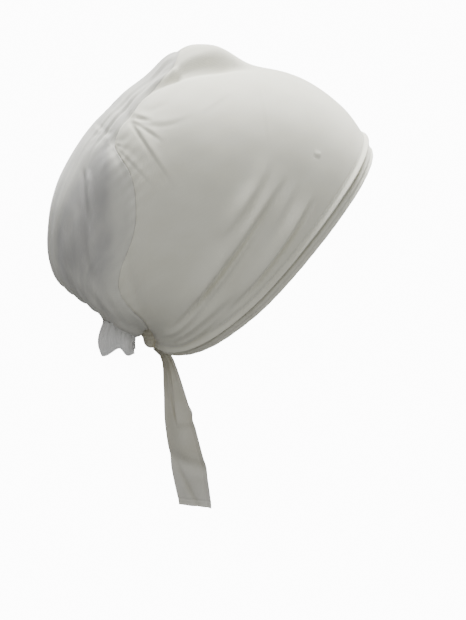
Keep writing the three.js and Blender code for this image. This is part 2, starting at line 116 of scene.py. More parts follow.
# Where the seam between panel and pouch crosses each place s: it starts well forward at the crown,
# falls back to where it is gathered, swings forward over the ear and back behind it.
SEAM = column_table(("s", "u"), (
    (0.0, 0.71), (0.06, 0.755), (0.12, 0.88), (0.17, 0.975), (0.24, 0.97), (0.34, 0.92),
    (0.43, 0.885), (0.5, 0.895), (0.57, 1.0), (0.62, 1.05), (0.7, 1.02), (0.8, 0.95),
    (0.9, 0.96), (1.0, 1.0),
))

# The loose roll of cloth on the crown: its height along the middle line, how its half width grows
# from front to back, the ridge that carries it on towards the nape and the hollow at its foot.
ROLL = {"peak_x": -17, "height": 15, "reach": 27, "power": 3.0, "roundness": 2.6}
ROLL_SPREAD = {"front_x": 4, "narrow": 8.5, "back_x": -50, "wide": 21}
RIDGE = {"from_x": -95, "to_x": -25, "height": 1.5, "half_width": 15}
ROLL_FOOT = {"depth": 3.0, "away": 1.3, "half_width": 4.5}

# Folds in the X-Z plane of one side: the line runs from start, past and to end. The crest stands
# height high and falls off over above on its upper side and over below on its lower side, where a
# groove of that share of the height follows it. rise and fall are the shares of its length over
# which it starts and ends.
FOLD_COLUMNS = ("start", "past", "end", "height", "above", "below", "groove", "rise", "fall")
RIGHT_FOLDS = row_table(FOLD_COLUMNS, (
    # the long folds that run up from the nape corner to the brow
    ((-55, -172), (-28, -131), (29, -58), 4.4, 9, 2.2, 0.7, 0.5, 0.34),
    ((-40, -160), (-8, -120), (22, -68), 1.3, 4, 2.2, 0.5, 0.4, 0.4),
    ((-19, -156), (15, -123), (47, -74), 3.8, 7, 2.2, 0.7, 0.5, 0.34),
    ((-24, -104), (-6, -90), (17, -50), 3.0, 6, 3.0, 0.4, 0.55, 0.5),
    ((12, -104), (24, -86), (35, -64), 1.0, 4, 2.6, 0.4, 0.4, 0.5),
    ((-50, -186), (-32, -174), (-16, -150), 1.5, 4, 2.2, 0.5, 0.25, 0.5),
    ((-53, -182), (-28, -158), (-8, -136), 1.9, 5, 2.6, 0.5, 0.25, 0.5),
    ((-55, -177), (-40, -164), (-25, -140), 1.3, 4, 2.2, 0.5, 0.25, 0.5),
    ((-48, -190), (-22, -180), (2, -160), 1.1, 4, 2.2, 0.45, 0.25, 0.55),
    ((-24, -132), (-20, -120), (-15, -106), 0.8, 3, 2.0, 0.5, 0.4, 0.5),
    ((-34, -150), (-31, -138), (-24, -122), 0.7, 3, 2.0, 0.5, 0.4, 0.5),
    ((-6, -172), (12, -156), (34, -124), 1.0, 5, 3.0, 0.4, 0.5, 0.5),
    # the pulls from the two gathered points of the seam, as fine creases
    ((-71, -26), (-60, -44), (-41, -76), 0.34, 3.0, 1.3, 0.8, 0.1, 0.6),
    ((-68, -30), (-60, -46), (-46, -76), 0.14, 2.4, 1.4, 0.7, 0.12, 0.6),
    ((-71, -24), (-64, -26), (-56, -26), 0.55, 1.8, 1.2, 1.0, 0.12, 0.5),
    ((-68, -27), (-50, -32), (-29, -20), 0.28, 2.4, 1.5, 0.6, 0.2, 0.5),
    ((-70, -27), (-60, -32), (-50, -40), 0.42, 2.8, 1.3, 0.8, 0.12, 0.5),
    ((-31, -25), (-14, -16), (2, -8), 0.22, 2.2, 1.4, 0.6, 0.4, 0.5),
    ((-82, -42), (-72, -52), (-55, -72), 0.2, 2.4, 1.3, 0.7, 0.12, 0.6),
    ((-82, -44), (-76, -58), (-66, -82), 0.14, 3.0, 1.8, 0.6, 0.12, 0.6),
    ((-62, -22), (-54, -18), (-44, -14), 0.22, 2.2, 1.4, 0.7, 0.3, 0.5),
    # a nub in the knit, and a crease from its packing
    ((48, -51), (51, -52.5), (54, -53.5), 0.45, 1.3, 1.1, 0.8, 0.3, 0.3),
    ((17, -5), (17, -25), (18, -52), 0.16, 1.6, 1.2, 0.6, 0.3, 0.5),
    # the pouch
    ((-98, -60), (-101, -76), (-99, -96), 1.2, 1.7, 1.5, 0.8, 0.25, 0.5),
    ((-99, -84), (-103, -108), (-97, -134), 1.5, 2.8, 2.0, 0.6, 0.5, 0.4),
    ((-106, -84), (-112, -106), (-107, -128), 1.3, 3.0, 2.2, 0.5, 0.5, 0.5),
    ((-111, -96), (-117, -114), (-113, -128), 1.1, 3, 2.6, 0.3, 0.5, 0.5),
    ((-92, -62), (-94, -98), (-92, -138), -1.8, 6, 6, 0.0, 0.45, 0.5),
    ((-75, -78), (-88, -122), (-62, -168), -1.0, 3.5, 3.5, 0.0, 0.45, 0.35),
    ((-84, -42), (-92, -44), (-102, -60), 0.3, 2.4, 1.3, 0.6, 0.12, 0.5),
    ((-83, -44), (-88, -54), (-92, -66), 0.25, 2.0, 1.3, 0.6, 0.12, 0.5),
    ((-84, -41), (-88, -38), (-93, -37), 0.35, 2.0, 1.2, 0.8, 0.15, 0.5),
    ((-112, -126), (-106, -142), (-93, -158), 1.2, 4, 2.4, 0.4, 0.4, 0.3),
    ((-103, -130), (-94, -148), (-80, -164), 1.3, 4, 2.4, 0.4, 0.4, 0.3),
    ((-92, -134), (-84, -150), (-72, -170), 1.0, 4, 2.4, 0.4, 0.4, 0.3),
))
LEFT_FOLDS = row_table(FOLD_COLUMNS, (
    ((-54, -174), (-22, -136), (26, -72), 2.8, 9, 3.6, 0.45, 0.3, 0.5),
    ((-34, -158), (0, -122), (22, -84), 1.2, 4, 2.6, 0.4, 0.4, 0.45),
    ((-50, -186), (-30, -174), (-12, -150), 1.4, 4, 2.4, 0.5, 0.25, 0.5),
    ((-52, -182), (-24, -158), (-8, -138), 1.7, 5, 2.8, 0.5, 0.25, 0.5),
    ((-18, -154), (16, -124), (36, -84), 2.2, 7, 3.6, 0.5, 0.45, 0.4),
    ((-20, -102), (-6, -90), (8, -64), 1.5, 5, 3.2, 0.4, 0.3, 0.6),
    ((-48, -190), (-16, -178), (14, -144), 1.0, 5, 2.8, 0.4, 0.25, 0.5),
    ((-74, -30), (-60, -50), (-42, -76), 0.55, 3.0, 1.8, 0.6, 0.12, 0.6),
    ((-73, -28), (-60, -31), (-44, -26), 0.4, 2.4, 1.6, 0.6, 0.15, 0.5),
    ((-76, -34), (-70, -56), (-62, -84), 0.4, 3.0, 1.8, 0.6, 0.12, 0.6),
    ((-60, -19), (-50, -14), (-34, -8), 0.8, 3.0, 1.8, 0.9, 0.5, 0.3),
    ((-97, -62), (-103, -98), (-98, -128), 1.8, 4, 3.4, 0.3, 0.5, 0.5),
    ((-108, -88), (-113, -108), (-108, -126), 1.3, 4, 3.2, 0.3, 0.5, 0.5),
    ((-89, -70), (-91, -104), (-89, -136), -2.2, 6, 5.5, 0.0, 0.45, 0.5),
    ((-75, -80), (-88, -122), (-62, -168), -1.0, 3.5, 3.5, 0.0, 0.45, 0.35),
    ((-80, -38), (-90, -44), (-100, -60), 0.45, 2.4, 1.6, 0.6, 0.12, 0.5),
    ((-104, -130), (-94, -148), (-80, -164), 1.3, 4, 2.4, 0.4, 0.4, 0.3),
))
# Folds on the crown, as the tables above but in the X-Y plane of the right side.
CROWN_FOLDS = row_table(FOLD_COLUMNS, (
    ((-63, -22), (-48, -18), (-34, -17), 1.4, 2.4, 2.6, 1.5, 0.6, 0.1),
    ((-40, -18), (-22, -11), (0, -5), 0.9, 2.2, 2.0, 1.0, 0.3, 0.5),
    ((-58, -12), (-44, -8), (-30, -5), 0.8, 1.8, 1.5, 0.9, 0.4, 0.3),
    ((-99, -25), (-76, -19), (-48, -13), 0.65, 2.0, 1.4, 0.9, 0.3, 0.4),
    ((-106, -14), (-80, -11), (-44, -7), 0.4, 2.2, 1.6, 0.9, 0.4, 0.4),
    ((-84, -32), (-90, -24), (-96, -12), 0.45, 2.0, 1.4, 0.9, 0.15, 0.5),
))
FOLD_STEPS = 16  # straight steps in a fold's line
FOLD_GROOVE = {"at": 1.9, "reach": 0.8}  # in shares of the fold's reach below
MIDDLE_BLEND = 4  # millimetres from the middle over which one side's folds give way to the other's

# Dents where the seam's stitches draw the cloth in, with short pleats that fan out round them.
DENT_COLUMNS = ("x", "z", "depth", "reach", "pleats", "pleat_height")
RIGHT_DENTS = row_table(DENT_COLUMNS, (
    (-71, -25, 1.3, 7, 7, 0.16),
    (-83, -43, 1.3, 8, 7, 0.16),
))
LEFT_DENTS = row_table(DENT_COLUMNS, ((-74, -32, 1.5, 8, 7, 0.18),))
PLEAT_FADE = 1.4  # how fast a dent's pleats fade, for each reach away from it

# Gathers along a line of the cap: how many, how high, and how far in u they reach from the line.
SEAM_GATHERS = {"count": 26, "height": 0.14, "reach": 0.06}
NAPE_GATHERS = {"count": 21, "height": 1.0, "reach": 0.1}
BROAD_GATHERS = {"count": 7, "height": 1.0, "reach": 0.3}
GATHER_SHIFTS = ((1.3, 5.1, 0.7), (0.8, 11.3, 0))  # size, pace and start of what makes them uneven
SEAM_GROOVE = {"depth": 0.9, "reach": 0.02, "faint": 0.18}  # faint is its share where it hardly shows
# The places s where the seam stops showing below the crown and shows again towards the nape.
SEAM_SHOWS = {"crown_full": 0.12, "crown_gone": 0.3, "nape_gone": 0.62, "nape_full": 0.8}
SEAM_NOTCH = {"depth": 1.4, "reach": 0.05}  # where the seam crosses the roll on the crown
CORNER_FADE = {"gathers": 0.72, "relief": 0.85}  # places s from where they fade out to the corners
# The slight unevenness of worn jersey: waves that run at these tilts, each shorter than the last.
CRUMPLE = {
    "height": 0.05, "length": 31.0, "tilts": (0.3, 1.1, 2.0, 2.7), "shorter": 0.6, "lean": 0.05,
    "shift": 2.1,
}


# What each side has: -1 is the right side, 1 the left.
FOLDS = {-1: RIGHT_FOLDS, 1: LEFT_FOLDS}
DENTS = {-1: RIGHT_DENTS, 1: LEFT_DENTS}

# ---- curves ----


def smooth_step(start, end, value):
    """From 0 up to start to 1 from end on, level at both."""
    t = np.clip((value - start) / (end - start), 0, 1)
    return t * t * (3 - 2 * t)


def through(at, xs, ys):
    """A smooth curve through a table's rows, with centred slopes."""
    at = np.asarray(at, float)
    slope = np.empty(len(xs))
    slope[1:-1] = (ys[2:] - ys[:-2]) / (xs[2:] - xs[:-2])
    slope[0] = (ys[1] - ys[0]) / (xs[1] - xs[0])
    slope[-1] = (ys[-1] - ys[-2]) / (xs[-1] - xs[-2])
    i = np.clip(np.searchsorted(xs, at, side="right") - 1, 0, len(xs) - 2)
    step = xs[i + 1] - xs[i]
    t = (at - xs[i]) / step
    rise = t * t * (3 - 2 * t)
    lean_out = t * (1 - t) ** 2 * step * slope[i]
    lean_in = t * t * (t - 1) * step * slope[i + 1]
    return ys[i] + rise * (ys[i + 1] - ys[i]) + lean_out + lean_in


def bell(value, centre, reach):
    """1 at the centre, falling off on both sides of it over the reach."""
    return np.exp(-((value - centre) / reach) ** 2)


def unit(vectors):
    """Vectors of the same directions, each of length 1."""
    return vectors / np.linalg.norm(vectors, axis=-1, keepdims=True)


# ---- the cap's form ----


def form_point(u, s):
    """The smooth form under the folds, as an array of points in millimetres."""
    u, s = np.broadcast_arrays(np.asarray(u, float), np.asarray(s, float))
    row = {name: through(u, SECTION["u"], SECTION[name]) for name in SECTION_COLUMNS[1:]}
    corner = {name: through(u, CORNER["u"], CORNER[name]) for name in CORNER_COLUMNS[1:]}
    opened = np.maximum(0, (u - OPENS_FROM) / (NAPE - OPENS_FROM)) ** 2
    turn = np.pi * np.abs(s)
    arch_down = (1 - np.cos(turn)) / 2
    down = arch_down + (np.abs(s) - arch_down) * opened
    along = down + 4 * (row["widest"] - 0.5) * down * (1 - down)
    arch = (np.sin(turn) + row["square"] * np.sin(3 * turn)) / (1 - row["square"])
    spread = arch_down ** 3 + (np.sin(turn / 2) - arch_down ** 3) * opened
    side = (row["half"] - opened * corner["y"] * math.sqrt(0.5)) * arch + corner["y"] * spread
    chord_x = corner["x"] - row["crown_x"]
    chord_z = corner["z"] - row["crown_z"]
    chord = np.hypot(chord_x, chord_z)
    bow_power = np.log(0.5) / np.log(row["bow_at"])
    bend = row["bow"] * np.sin(np.pi * along ** bow_power) + row["sway"] * np.sin(2 * np.pi * along)
    return np.stack([
        row["crown_x"] + along * chord_x - bend * chord_z / chord,
        np.sign(s) * side,
        row["crown_z"] + along * chord_z + bend * chord_x / chord,
    ], axis=-1)


def form_frame(u, s):
    """The directions along u, out of the form and onward to larger u, and millimetres per u."""
    small = 0.01
    inner = np.clip(np.abs(s), small, 1 - small) * np.where(s < 0, -1, 1)
    along_u = form_point(u + small, inner) - form_point(u - small, inner)
    along_s = form_point(u, inner + small) - form_point(u, inner - small)
    scale = np.linalg.norm(along_u, axis=-1) / (2 * small)
    out = unit(np.cross(along_s, along_u))
    onward = unit(np.cross(out, along_s))
    return unit(along_u), out, onward, scale


def seam_at(s):
    """The section u in which the seam lies at each place s."""
    return through(np.abs(s), SEAM["s"], SEAM["u"])


def seam_clearness(s):
    """How clearly the seam shows: in full at the crown and the nape, faintly between them."""
    around = np.abs(s)
    near_crown = 1 - smooth_step(SEAM_SHOWS["crown_full"], SEAM_SHOWS["crown_gone"], around)
    near_nape = smooth_step(SEAM_SHOWS["nape_gone"], SEAM_SHOWS["nape_full"], around)
    return SEAM_GROOVE["faint"] + (1 - SEAM_GROOVE["faint"]) * np.maximum(near_crown, near_nape)


def trimmed(u, s):
    """The place s drawn in towards the crown where the pouch is cut short at its ends."""
    return s * (1 - CORNER_TRIM["share"] * smooth_step(CORNER_TRIM["from"], CORNER_TRIM["full"], u))


def fold_line(fold):
    """A fold's line as points of a quadratic curve."""
    t = np.linspace(0, 1, FOLD_STEPS + 1)[:, None]
    start, past, end = (np.array(fold[name], float) for name in ("start", "past", "end"))
    return (1 - t) ** 2 * start + 2 * t * (1 - t) * past + t * t * end


def fold_height(fold, x, z):
    """What a fold adds to the cloth's height at points of the plane that it is drawn in."""
    line = fold_line(fold)
    nearest = np.full(x.shape, np.inf)
    share = np.zeros(x.shape)
    above = np.ones(x.shape, bool)
    for i in range(FOLD_STEPS):
        piece_x, piece_z = line[i + 1] - line[i]
        off_x = x - line[i][0]
        off_z = z - line[i][1]
        t = np.clip((off_x * piece_x + off_z * piece_z) / (piece_x ** 2 + piece_z ** 2), 0, 1)
        gap = np.hypot(off_x - t * piece_x, off_z - t * piece_z)
        closer = gap < nearest
        nearest = np.where(closer, gap, nearest)
        share = np.where(closer, (i + t) / FOLD_STEPS, share)
        above = np.where(closer, piece_x * off_z - piece_z * off_x > 0, above)
    fade = smooth_step(0, fold["rise"], share) * smooth_step(0, fold["fall"], 1 - share)
    reach = np.where(above, fold["above"], fold["below"])
    beyond = bell(nearest / fold["below"], FOLD_GROOVE["at"], FOLD_GROOVE["reach"])
    groove = np.where(above, 0, fold["groove"] * beyond)
    return fold["height"] * fade * (bell(nearest, 0, reach) - groove)


def dent_height(dent, x, z):
    """What a dent and the pleats round it add to the cloth's height."""
    off_x = x - dent["x"]
    off_z = z - dent["z"]
    away = np.hypot(off_x, off_z) / dent["reach"]
    hollow = dent["depth"] * bell(away, 0, 1)
    fan = np.cos(dent["pleats"] * np.arctan2(off_z, off_x))
    pleats = dent["pleat_height"] * fan * away * np.exp(1 - away * PLEAT_FADE)
    return pleats - hollow


def roll_height(points):
    """How high the roll on the crown and its ridge stand."""
    x = points[..., 0]
    side = np.abs(points[..., 1])
    ahead = np.abs(x - ROLL["peak_x"]) / ROLL["reach"]
    peak = ROLL["height"] * np.exp(-ahead ** ROLL["power"])
    rise = smooth_step(RIDGE["from_x"], RIDGE["from_x"] + ROLL["reach"], x)
    fall = 1 - smooth_step(RIDGE["to_x"] - ROLL["reach"], RIDGE["to_x"], x)
    ridge = RIDGE["height"] * rise * fall
    length = ROLL_SPREAD["back_x"] - ROLL_SPREAD["front_x"]
    back = np.clip((x - ROLL_SPREAD["front_x"]) / length, 0, 1)
    half_width = ROLL_SPREAD["narrow"] + (ROLL_SPREAD["wide"] - ROLL_SPREAD["narrow"]) * back
    foot = ROLL_FOOT["depth"] * bell(side, ROLL_FOOT["away"] * half_width, ROLL_FOOT["half_width"])
    return (
        peak * np.exp(-(side / half_width) ** ROLL["roundness"])
        + ridge * bell(side, 0, RIDGE["half_width"])
        - foot * (peak + ridge) / ROLL["height"]
    )


def gather_height(gathers, line, u, s):
    """What the gathers along a line of sections add to the cloth's height."""
    fade = np.exp(-np.abs(u - line) / gathers["reach"])
    ends = 1 - smooth_step(CORNER_FADE["gathers"], 1, np.abs(s))
    uneven = sum(size * np.sin(pace * s + start) for size, pace, start in GATHER_SHIFTS)
    return gathers["height"] * fade * ends * np.cos(2 * np.pi * gathers["count"] * s + uneven)


def crumple(points):
    """Slight, slow waves over the whole cloth."""
    total = np.zeros(points.shape[:-1])
    lean = CRUMPLE["lean"] * points[..., 1]
    for k, tilt in enumerate(CRUMPLE["tilts"]):
        length = CRUMPLE["length"] / (1 + CRUMPLE["shorter"] * k)
        across = points[..., 0] * math.cos(tilt) + points[..., 2] * math.sin(tilt)
        total += np.sin(2 * np.pi * across / length + lean + CRUMPLE["shift"] * k) / (1 + k)
    return CRUMPLE["height"] * total


def relief(u, s):
    """How far the cloth stands out from the smooth form."""
    u, s = np.broadcast_arrays(np.asarray(u, float), np.asarray(s, float))
    points = form_point(u, s)
    x, z = points[..., 0], points[..., 2]
    height = roll_height(points) + crumple(points)
    for side in (-1, 1):
        on_side = smooth_step(-MIDDLE_BLEND, MIDDLE_BLEND, side * points[..., 1])
        shaped = np.zeros(u.shape)
        for fold in FOLDS[side]:
            shaped += fold_height(fold, x, z)
        for dent in DENTS[side]:
            shaped += dent_height(dent, x, z)
        height += on_side * shaped
    for fold in CROWN_FOLDS:
        height += fold_height(fold, x, points[..., 1])
    height += gather_height(BROAD_GATHERS, NAPE, u, s)
    height += gather_height(NAPE_GATHERS, NAPE, u, s)
    height += gather_height(SEAM_GATHERS, seam_at(s), u, s)
    notch = SEAM_NOTCH["depth"] * bell(s, 0, SEAM_NOTCH["reach"])
    groove = SEAM_GROOVE["depth"] * seam_clearness(s) + notch
    height -= groove * bell(u, seam_at(s), SEAM_GROOVE["reach"])
    return height * (1 - smooth_step(CORNER_FADE["relief"], 1, np.abs(s)))


# ---- meshes ----


def arc_lengths(points, axis):
    """How far each point of a grid lies from the first one along an axis, in millimetres."""
    steps = np.linalg.norm(np.diff(points, axis=axis), axis=-1)
    shape = list(points.shape[:2])
    shape[axis] = 1
    return np.concatenate([np.zeros(shape), np.cumsum(steps, axis=axis)], axis=axis)


def new_object(name, vertices, faces, material):
    """A smooth-shaded object in the scene from vertices in metres."""
    mesh = bpy.data.meshes.new(name)
    mesh.from_pydata(vertices, [], faces)
    mesh.update()
    mesh.polygons.foreach_set("use_smooth", [True] * len(mesh.polygons))
    mesh.materials.append(material)
    piece = bpy.data.objects.new(name, mesh)
    bpy.context.scene.collection.objects.link(piece)
    return piece


def face_outward(piece, centre):
    """Turn a sheet's faces so that they look away from a centre given in millimetres."""
    mesh = piece.data
    middle = Vector(centre) * MM
    votes = sum(1 if (p.center - middle).dot(p.normal) > 0 else -1 for p in mesh.polygons)
    if votes < 0:
        mesh.flip_normals()


def grid_piece(name, points, material, inside, closed=False, hollow=None, wall=None):
    """A sheet over a grid of points in millimetres, with its flat lengths in centimetres as UV.

    Its faces look away from the point inside. closed joins the last row to the first, hollow is the
    painted shade from 0 to 1 at each point, and wall is what it is thickened by on its inner side.
    """
    rows, columns = points.shape[:2]
    index = np.arange(rows * columns).reshape(rows, columns)
    if closed:
        index = np.vstack([index, index[:1]])
    quads = np.stack([index[:-1, :-1], index[1:, :-1], index[1:, 1:], index[:-1, 1:]], axis=-1)
    quads = quads.reshape(-1, 4)
    piece = new_object(name, (points.reshape(-1, 3) * MM).tolist(), quads.tolist(), material)
    mesh = piece.data
    middle_row = arc_lengths(points[rows // 2][None], 1)[0]
    flat = np.stack([
        np.broadcast_to(middle_row[None, :], (rows, columns)),
        arc_lengths(points, 0),
    ], axis=-1) / 10
    layer = mesh.uv_layers.new(name="cloth")
    loops = np.empty(len(mesh.loops), np.int32)
    mesh.loops.foreach_get("vertex_index", loops)
    layer.data.foreach_set("uv", flat.reshape(-1, 2)[loops].astype(np.float32).ravel())
    # The painted shade goes on the mesh as its hollow attribute.
    if hollow is not None:
        shade = mesh.attributes.new("hollow", "FLOAT", "POINT")
        shade.data.foreach_set("value", hollow.astype(np.float32).ravel())
    face_outward(piece, inside)
    if wall is not None:
        solid = piece.modifiers.new("thickness", "SOLIDIFY")
        solid.thickness = wall * MM
        solid.offset = -1
    return piece


# ---- materials ----

WAVE_SCALE = 0.314  # a wave texture's scale that gives one band in each centimetre of cloth
WALE = 0.9  # millimetres from one wale to the next
COURSE = WALE / 1.3  # and from one course to the next
JERSEY_SHADER = {
    "Roughness": 0.92, "Sheen Weight": 0.25, "Sheen Roughness": 0.45, "Specular IOR Level": 0.25,
}
NAP = {"Scale": 26.0, "Detail": 3.0}
PATCHES = {"Scale": 0.55, "Detail": 4.0}
UNEVEN = {"From Min": 0.3, "From Max": 0.8, "To Max": 0.45}  # what the patches do to the colour
NAP_SHARE = 0.8  # of the nap in the height of the surface
# The hollow attribute is painted shade, and this share is how far it darkens the colour.
PAINTED_SHADE_SHARE = 0.8  # how far a hollow of 1 takes the colour from lit to deep
LOOP_SHADOW = 0.1  # how much the loops darken the colour
BUMP_DISTANCE = 0.25  # millimetres
THREAD_LOOK = {"roughness": 0.6, "twist_scale": 2200.0, "darker": 0.82}


def principled(material):
    return material.node_tree.nodes["Principled BSDF"]


def new_material(name, numbers):
    """A material, with numbers on the sockets of its shader."""
    material = bpy.data.materials.new(name)
    material.use_nodes = True
    for socket, value in numbers.items():
        principled(material).inputs[socket].default_value = value
    return material


def add_node(nodes, kind, settings, numbers):
    """A shader node with its settings, and with numbers on its sockets."""
    node = nodes.new("ShaderNode" + kind)
    for name, value in settings.items():
        setattr(node, name, value)
    for socket, value in numbers.items():
        node.inputs[socket].default_value = value
    return node


def bands(nodes, direction, apart, numbers):
    """Parallel bands across the cloth, this many millimetres apart."""
    node = add_node(nodes, "TexWave", {"wave_type": "BANDS", "bands_direction": direction}, numbers)
    node.inputs["Scale"].default_value = WAVE_SCALE / (apart / 10)
    return node


def jersey(name, lit, deep, bump=0.1):
    """Fine cotton jersey: rows of small loops, a faint nap, slightly uneven colour and painted shade.

    lit is its colour on the open face, deep the darker colour that its uneven patches and the painted
    shade of its hollow attribute lead to.
    """
    material = new_material(name, JERSEY_SHADER)
    nodes, links = material.node_tree.nodes, material.node_tree.links
    shader = principled(material)

    place = add_node(nodes, "UVMap", {"uv_map": "cloth"}, {})
    wales = bands(nodes, "X", WALE, {"Distortion": 0.6, "Detail Scale": 1.4})
    courses = bands(nodes, "Y", COURSE, {"Distortion": 0.8})
    nap = add_node(nodes, "TexNoise", {}, NAP)
    patches = add_node(nodes, "TexNoise", {}, PATCHES)
    for texture in (wales, courses, nap, patches):
        links.new(place.outputs["UV"], texture.inputs["Vector"])

    loops = add_node(nodes, "Math", {"operation": "MULTIPLY"}, {})
    links.new(wales.outputs["Fac"], loops.inputs[0])
    links.new(courses.outputs["Fac"], loops.inputs[1])
    surface = add_node(nodes, "Math", {"operation": "MULTIPLY_ADD"}, {1: NAP_SHARE})
    links.new(nap.outputs["Fac"], surface.inputs[0])
    links.new(loops.outputs[0], surface.inputs[2])
    bumps = add_node(nodes, "Bump", {}, {"Strength": bump, "Distance": BUMP_DISTANCE * MM})
    links.new(surface.outputs[0], bumps.inputs["Height"])
    links.new(bumps.outputs["Normal"], shader.inputs["Normal"])

    # The hollow attribute's painted shade and the uneven patches take the colour from lit towards deep.
    hollow = add_node(nodes, "Attribute", {"attribute_name": "hollow"}, {})
    uneven = add_node(nodes, "MapRange", {}, UNEVEN)
    links.new(patches.outputs["Fac"], uneven.inputs["Value"])
    depth = add_node(nodes, "Math", {"operation": "MULTIPLY_ADD", "use_clamp": True}, {1: PAINTED_SHADE_SHARE})
    links.new(hollow.outputs["Fac"], depth.inputs[0])
    links.new(uneven.outputs["Result"], depth.inputs[2])
    colour = add_node(nodes, "Mix", {"data_type": "RGBA"}, {"A": (*lit, 1), "B": (*deep, 1)})
    links.new(depth.outputs[0], colour.inputs["Factor"])
    shadow = {"data_type": "RGBA", "blend_type": "MULTIPLY"}
    shaded = add_node(nodes, "Mix", shadow, {"Factor": LOOP_SHADOW})
    links.new(colour.outputs["Result"], shaded.inputs["A"])
    links.new(loops.outputs[0], shaded.inputs["B"])
    links.new(shaded.outputs["Result"], shader.inputs["Base Color"])
    return material


def thread(name, colour):
    """Polyester sewing thread, with the twist of its plies."""
    material = new_material(name, {"Roughness": THREAD_LOOK["roughness"]})
    nodes, links = material.node_tree.nodes, material.node_tree.links
    place = add_node(nodes, "TexCoord", {}, {})
    twist = add_node(nodes, "TexNoise", {}, {"Scale": THREAD_LOOK["twist_scale"]})
    links.new(place.outputs["Object"], twist.inputs["Vector"])
    darker = tuple(THREAD_LOOK["darker"] * part for part in colour)
    tint = add_node(nodes, "Mix", {"data_type": "RGBA"}, {"A": (*colour, 1), "B": (*darker, 1)})
    links.new(twist.outputs["Fac"], tint.inputs["Factor"])
    links.new(tint.outputs["Result"], principled(material).inputs["Base Color"])
    return material


# Each jersey's second colour is the darker one that its uneven patches and its painted shade lead to; on
# the band it is painted shade in the gap under the panel's edge.
IVORY = jersey("ivory_jersey", (0.81, 0.8, 0.68), (0.72, 0.7, 0.57))
# The pouch's colours are darker and greyer than the panel's: painted shade for thin cloth with no head
# behind it.
IVORY_POUCH_PAINTED_SHADE = jersey("ivory_pouch_painted_shade", (0.76, 0.755, 0.66), (0.44, 0.435, 0.415))
# The ruffle's colours are lighter than the panel's: painted light that makes up for the shade it hangs
# in.
IVORY_RUFFLE_PAINTED_LIGHT = jersey("ivory_ruffle_painted_light", (0.9, 0.9, 0.87), (0.82, 0.82, 0.77))
IVORY_BAND = jersey("ivory_band", (0.8, 0.79, 0.68), (0.62, 0.6, 0.47), bump=0.14)
# The tie ends' colours are darker than the panel's: painted shade for the ends that hang below the cap.
TIE_IVORY_PAINTED_SHADE = jersey("tie_jersey_painted_shade", (0.68, 0.67, 0.6), (0.5, 0.48, 0.38))
# The knot's colours are lighter than the panel's: painted light that makes up for the shadow it sits in;
# its second colour is painted shade in its grooves.
KNOT_IVORY_PAINTED_LIGHT = jersey("knot_jersey_painted_light", (0.92, 0.89, 0.74), (0.78, 0.71, 0.5))
THREAD = thread("ivory_thread", (0.8, 0.79, 0.74))

# ---- panel and pouch ----

# Steps of the grids: round the cap or across a strip, then along it.
PANEL_GRID = (420, 210)
POUCH_GRID = (400, 190)
RUFFLE_GRID = (360, 60)
KNOT_GRID = (140, 90)
TIE_GRID = (70, 190)
BAND_STEPS = 460
STITCH_STEPS = 420
FEWEST_STEPS = 6
ROW_CROWDING = 0.55  # how much closer together the rows are near both ends of a grid

CLOTH_UNTIL = 0.998  # the place s where the panel and the pouch end
INSIDE_HEAD = (-10, 0, -105)
INSIDE_POUCH = (-60, 0, -100)

EDGE_INSET = 1.0  # the panel's edge lies this far behind section 0
HEM_RADIUS = 1.1
HEM_RETURN = (9, 7, 5, 3.5, 2.2)  # distances from the edge on the turned-in side
HEM_TURN = (90, 65, 40, 20, 0, -20, -40, -65, -90)  # degrees round the folded edge
HEM_FLAT_FROM = 1.4  # the open cloth starts this many radii behind the edge
HEM_ROLL = {"at": 2.7, "reach": 1.5, "height": 1.9}
HEM_GROOVE = {"at": 5.8, "reach": 1.4, "depth": 0.5}

SEAM_CLEAR = 0.002  # how far in u the open cloth stops short of the seam's line
SEAM_TUCK = ((0.004, 1.2), (0.006, 2.4), (0.004, 3.6))  # past that, and how deep
SEAM_SHADE = {"most": 0.7, "reach": 0.01}
NAPE_TURN = (0.8, 1.6, 2.4)  # depths of the rows that turn in at the nape line
NAPE_SHADE_REACH = 0.012
# Painted shade where nothing is behind the pouch's thin cloth. It opens within a distance in u of the
# seam, which grows from near by farther down the side, and it closes again towards the nape.
UNBACKED_SHADE = {
    "on_crown": 0.35, "side_from": 0.12, "side_full": 0.2,
    "near": 0.06, "farther": 0.28, "farther_from": 0.2, "farther_full": 0.42,
    "at_nape": 0.25, "nape_z": -165, "full_z": -110,
}


def steps(count):
    """How many steps a grid takes at the present fineness."""
    return max(FEWEST_STEPS, round(count * FINE))


def round_places(count, until):
    """Places s round the cap, from -until to until."""
    return np.linspace(-until, until, steps(count) + 1)


def cloth_between(starts, ends, places, count):
    """Grid of u and s between two lines, with rows closer together near both of them."""
    t = np.linspace(0, 1, steps(count) + 1)[:, None]
    t = t - ROW_CROWDING * np.sin(2 * np.pi * t) / (2 * np.pi)
    u = starts[None, :] + (ends - starts)[None, :] * t
    return u, np.broadcast_to(places[None, :], u.shape)


def on_cloth(u, s, depth=0.0):
    """Points on the cloth's outer face, or depth below it."""
    _, out, _, _ = form_frame(u, s)
    height = relief(u, s) - depth
    return form_point(u, s) + out * height[..., None]


def hem_relief(u, s, scale):
    """The rounded roll along the face edge and the stitched groove behind it."""
    distance = u * scale
    roll = HEM_ROLL["height"] * bell(distance, HEM_ROLL["at"], HEM_ROLL["reach"])
    groove = HEM_GROOVE["depth"] * bell(distance, HEM_GROOVE["at"], HEM_GROOVE["reach"])
    return (roll - groove) * np.ones(s.shape)


